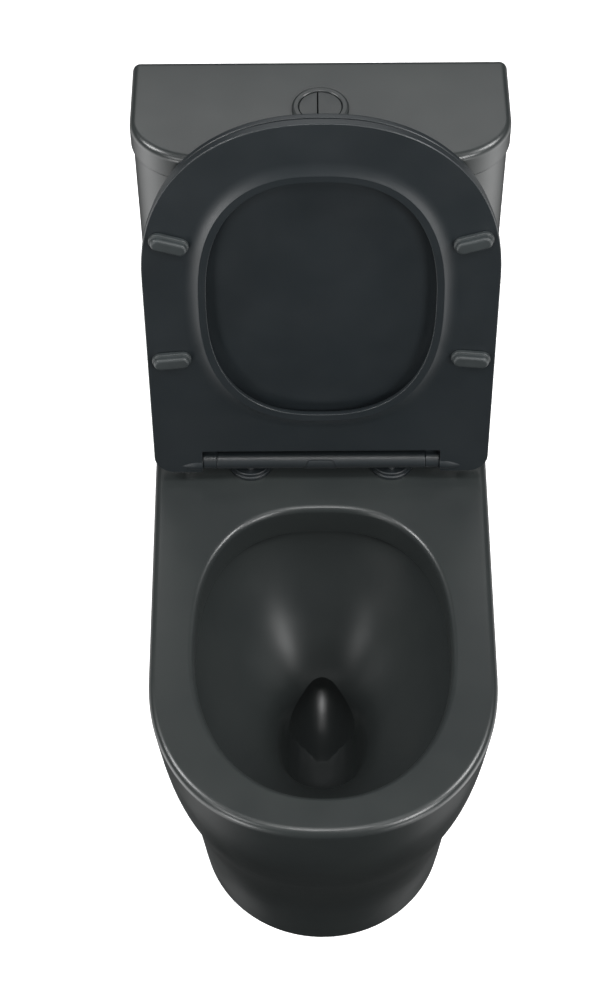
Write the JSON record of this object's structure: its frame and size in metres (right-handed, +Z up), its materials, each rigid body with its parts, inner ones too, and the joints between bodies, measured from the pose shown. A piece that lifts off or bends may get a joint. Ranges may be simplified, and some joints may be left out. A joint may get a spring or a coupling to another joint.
{
  "type": "close coupled toilet",
  "caption": "Matte black back-to-wall toilet with a rimless bowl, a cistern bolted on top and a slim seat and lid on a soft-close hinge bar, both raised.",
  "frame": {"origin": "on the floor, at the middle of the toilet in plan: 331 mm in front of the wall plane", "axes": "+Z up, +Y towards the wall, -Y to the front, +X to the right of someone facing the toilet"},
  "size_m": [0.38, 0.662, 0.8884],
  "materials": {
    "black_ceramic": "satin matte charcoal glaze",
    "black_seat": "satin matte moulded",
    "black_plastic": "satin",
    "black_button": "satin, bright bevelled edge",
    "white_plastic": "moulded",
    "grey_plastic": "moulded",
    "buffer_rubber": "soft satin rubber",
    "black_rubber": "matte rubber",
    "brass": "turned",
    "steel": "drawn"
  },
  "bodies": {
    "toilet": {"bolt_rubber_washer_left": "black_rubber", "bolt_rubber_washer_right": "black_rubber", "cistern_lid": "black_ceramic", "cistern_tank": "black_ceramic", "coupling_bolt_left": "brass", "coupling_bolt_right": "brass", "cushion_pad_left": "black_rubber", "cushion_pad_right": "black_rubber", "damper_left": "grey_plastic", "damper_right": "grey_plastic", "doughnut_gasket": "black_rubber", "fill_valve_backnut": "brass", "fill_valve_body": "white_plastic", "fill_valve_washer": "black_rubber", "floor_bracket_left": "grey_plastic", "floor_bracket_right": "grey_plastic", "flush_bezel": "black_button", "flush_bezel_nut": "grey_plastic", "flush_valve_backnut": "grey_plastic", "flush_valve_base": "white_plastic", "flush_valve_cage": "white_plastic", "flush_valve_washer": "black_rubber", "full_flush_spring": "steel", "half_flush_spring": "steel", "hinge_barrel": "black_plastic", "hinge_bolt_left": "steel", "hinge_bolt_right": "steel", "hinge_disc_left": "black_plastic", "hinge_disc_right": "black_plastic", "hinge_post_left": "steel", "hinge_post_right": "steel", "hinge_sleeve_left": "black_rubber", "hinge_sleeve_right": "black_rubber", "pan": "black_ceramic", "pan_connector": "grey_plastic", "pan_connector_seal": "black_rubber", "side_screw_left": "black_plastic", "side_screw_right": "black_plastic", "wing_nut_left": "brass", "wing_nut_right": "brass"},
    "lid": {"toilet_lid": "black_seat", "hinge_pin_left": "steel", "hinge_pin_right": "steel", "lid_buffer_left": "buffer_rubber", "lid_buffer_right": "buffer_rubber"},
    "seat": {"seat": "black_seat", "seat_buffer_front_left": "buffer_rubber", "seat_buffer_front_right": "buffer_rubber", "seat_buffer_rear_left": "buffer_rubber", "seat_buffer_rear_right": "buffer_rubber"},
    "half_button": {"half_flush_button": "black_button", "half_flush_rod": "white_plastic"},
    "full_button": {"full_flush_button": "black_button", "full_flush_rod": "white_plastic"},
    "valve_stem": {"flush_valve_stem": "grey_plastic", "flush_valve_seal": "black_rubber"},
    "float": {"float_cup": "grey_plastic"},
    "release": {"release_button": "black_plastic"},
    "latch_left": {"latch_bar_left": "steel"},
    "latch_right": {"latch_bar_right": "steel"}
  },
  "joints": [
    {"name": "lid_hinge", "type": "hinge", "parent": "toilet", "child": "lid", "pos_m": [0, 0.1231, 0.4373], "axis": [1, 0, 0], "range_deg": [0, 97.34]},
    {"name": "seat_hinge", "type": "hinge", "parent": "toilet", "child": "seat", "pos_m": [0, 0.1231, 0.4373], "axis": [1, 0, 0], "range_deg": [0, 97.34]},
    {"name": "half_flush_press", "type": "slide", "parent": "toilet", "child": "half_button", "axis": [0, 0, -1], "range_m": [0, 0.008], "stiffness_N_per_m": 400, "springref_m": -0.003, "deforming": ["half_flush_spring"]},
    {"name": "full_flush_press", "type": "slide", "parent": "toilet", "child": "full_button", "axis": [0, 0, -1], "range_m": [0, 0.008], "stiffness_N_per_m": 400, "springref_m": -0.003, "deforming": ["full_flush_spring"]},
    {"name": "valve_stem_lift", "type": "slide", "parent": "toilet", "child": "valve_stem", "axis": [0, 0, 1], "range_m": [0, 0.016]},
    {"name": "float_rise", "type": "slide", "parent": "toilet", "child": "float", "axis": [0, 0, 1], "range_m": [0, 0.045]},
    {"name": "release_press", "type": "slide", "parent": "toilet", "child": "release", "axis": [0, 1, 0], "range_m": [0, 0.003], "stiffness_N_per_m": 600, "springref_m": -0.002},
    {"name": "latch_left_slide", "type": "slide", "parent": "toilet", "child": "latch_left", "axis": [1, 0, 0], "range_m": [0, 0.003]},
    {"name": "latch_right_slide", "type": "slide", "parent": "toilet", "child": "latch_right", "axis": [-1, 0, 0], "range_m": [0, 0.003]}
  ],
  "couplings": [
    {"joint": "seat_hinge", "follows": "lid_hinge", "ratio": 1},
    {"joint": "valve_stem_lift", "follows": "full_flush_press", "ratio": 2},
    {"joint": "latch_left_slide", "follows": "release_press", "ratio": 1},
    {"joint": "latch_right_slide", "follows": "release_press", "ratio": 1}
  ]
}
